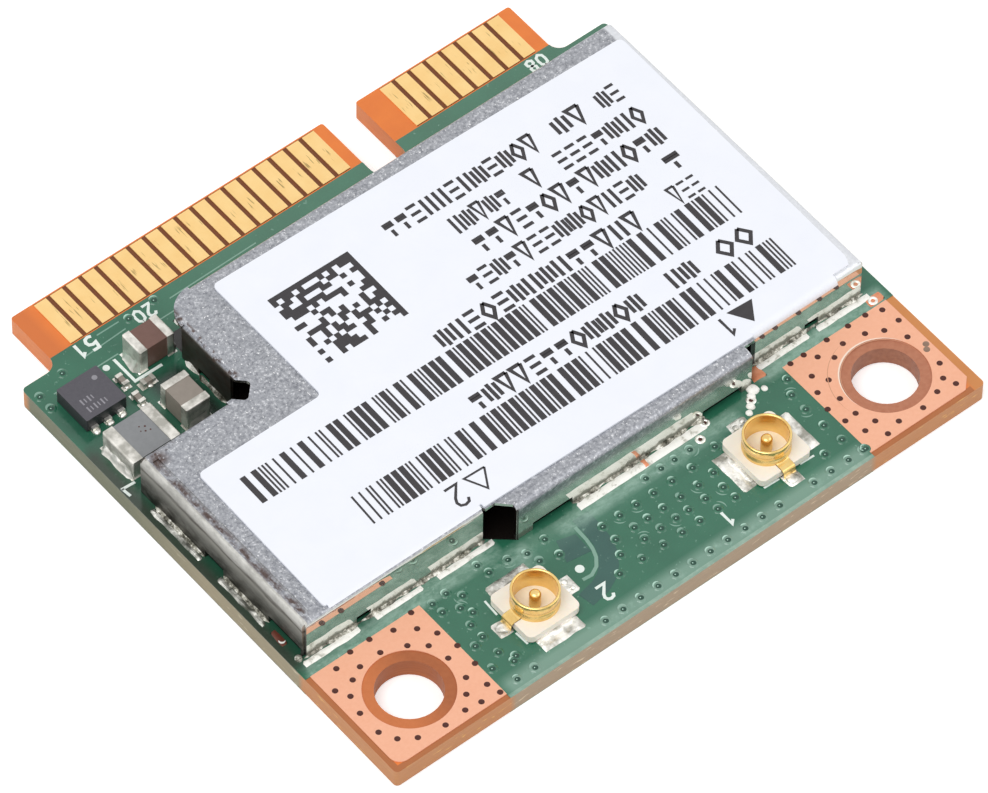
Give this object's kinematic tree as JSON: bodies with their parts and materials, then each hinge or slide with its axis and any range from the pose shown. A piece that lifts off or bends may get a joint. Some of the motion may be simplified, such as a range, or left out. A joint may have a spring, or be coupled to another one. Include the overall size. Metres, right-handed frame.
{
  "type": "laptop wireless network card",
  "caption": "Half-length mini card for laptop wireless networking, with edge contacts, folded shield can, printed label and coaxial antenna receptacles.",
  "frame": {"origin": "centre of the board outline, on the plane that the copper of the underside reaches", "axes": "+Y to the edge contacts, +X to the side with the short group of contacts, +Z out of the shielded side"},
  "size_m": [0.0298, 0.0266, 0.0031],
  "materials": {
    "brown_ceramic": "brown ceramic",
    "chip_moulding": "black moulding, matt",
    "copper": "bare copper under clear finish, satin",
    "cream_moulding": "cream moulding",
    "ferrite": "grey ferrite",
    "gold": "gold plating, satin",
    "grey_ceramic": "grey ceramic",
    "label_film": "white printed film, smooth",
    "laminate": "glass-fibre laminate, matt",
    "lid_metal": "plated lid",
    "mask": "green solder mask, glossy",
    "sheet_metal": "speckled nickel-silver sheet",
    "tin": "bright tin solder"
  },
  "bodies": {
    "root": {"board_laminate": "laminate", "capacitor_a_body": "brown_ceramic", "capacitor_a_caps": "tin", "capacitor_b_body": "grey_ceramic", "capacitor_b_caps": "tin", "coax_1_base": "cream_moulding", "coax_1_lands": "tin", "coax_1_pin": "gold", "coax_1_shell": "gold", "coax_1_solder": "tin", "coax_2_base": "cream_moulding", "coax_2_lands": "tin", "coax_2_pin": "gold", "coax_2_shell": "gold", "coax_2_solder": "tin", "coil_body": "ferrite", "coil_caps": "tin", "contacts_bottom_long": "gold", "contacts_bottom_short": "gold", "contacts_top_long": "gold", "contacts_top_short": "gold", "crystal_base": "chip_moulding", "crystal_lands": "tin", "crystal_lid": "lid_metal", "front_end_1": "chip_moulding", "front_end_1_lands": "tin", "front_end_2": "chip_moulding", "front_end_2_lands": "tin", "inner_part_1_body": "grey_ceramic", "inner_part_1_caps": "tin", "inner_part_2_body": "grey_ceramic", "inner_part_2_caps": "tin", "inner_part_3_body": "grey_ceramic", "inner_part_3_caps": "tin", "inner_part_4_body": "grey_ceramic", "inner_part_4_caps": "tin", "label": "label_film", "memory_chip": "chip_moulding", "memory_chip_lands": "tin", "mounting_pad_bottom_left": "copper", "mounting_pad_bottom_right": "copper", "mounting_pad_top_left": "copper", "mounting_pad_top_right": "copper", "part_lands": "tin", "radio_chip": "chip_moulding", "radio_chip_lands": "tin", "regulator_body": "chip_moulding", "regulator_leads": "tin", "shield_can": "sheet_metal", "shield_solder": "tin", "shield_strips": "tin", "small_part_1_body": "grey_ceramic", "small_part_1_caps": "tin", "small_part_2_body": "grey_ceramic", "small_part_2_caps": "tin", "small_part_3_body": "grey_ceramic", "small_part_3_caps": "tin", "solder_mask_bottom": "mask", "solder_mask_top": "mask"}
  },
  "joints": []
}
